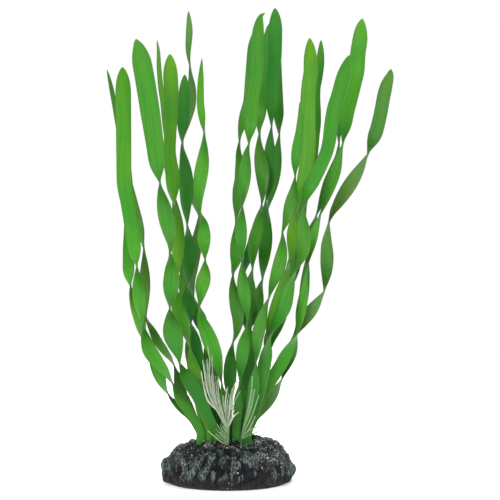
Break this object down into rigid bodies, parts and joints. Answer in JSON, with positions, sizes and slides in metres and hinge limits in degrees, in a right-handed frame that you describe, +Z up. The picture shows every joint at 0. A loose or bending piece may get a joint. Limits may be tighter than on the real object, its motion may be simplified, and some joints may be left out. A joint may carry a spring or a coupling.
{
  "type": "artificial aquarium plant",
  "caption": "Artificial crinum for an aquarium: long twisted ribbon leaves and pale rootlet sprigs standing in a weighted base cast to look like rock.",
  "frame": {"origin": "centre of the base's flat underside, on the surface that it stands on", "axes": "+Z up along the leaves, -Y towards the plant's front, +X to the right as seen from the front"},
  "size_m": [0.176, 0.0846, 0.2894],
  "materials": {
    "leaf_plastic": "soft translucent green plastic with fine lengthwise veins",
    "olive_leaf_plastic": "soft translucent olive-green plastic with fine lengthwise veins",
    "rock_resin": "dark cast resin, dry-brushed grey-green, with pale grains",
    "rootlet_plastic": "pale whitish-green soft plastic"
  },
  "bodies": {
    "root": {"base": "rock_resin", "leaf_far_left": "olive_leaf_plastic", "leaf_left_broad": "leaf_plastic", "leaf_left_low": "leaf_plastic", "leaf_left_front": "leaf_plastic", "leaf_left_thin": "leaf_plastic", "leaf_left_middle": "leaf_plastic", "leaf_left_dark": "leaf_plastic", "leaf_left_tall": "olive_leaf_plastic", "leaf_left_inner": "leaf_plastic", "leaf_centre_back": "olive_leaf_plastic", "leaf_centre_front": "leaf_plastic", "leaf_centre_olive": "olive_leaf_plastic", "leaf_centre_tallest": "leaf_plastic", "leaf_centre_hidden": "leaf_plastic", "leaf_right_short": "olive_leaf_plastic", "leaf_right_light": "leaf_plastic", "leaf_right_blunt": "leaf_plastic", "leaf_right_thin": "leaf_plastic", "leaf_right_front": "leaf_plastic", "leaf_right_tall": "leaf_plastic", "leaf_far_right": "olive_leaf_plastic", "sprig_front": "rootlet_plastic", "sprig_right": "rootlet_plastic", "sprig_back": "rootlet_plastic"}
  },
  "joints": []
}
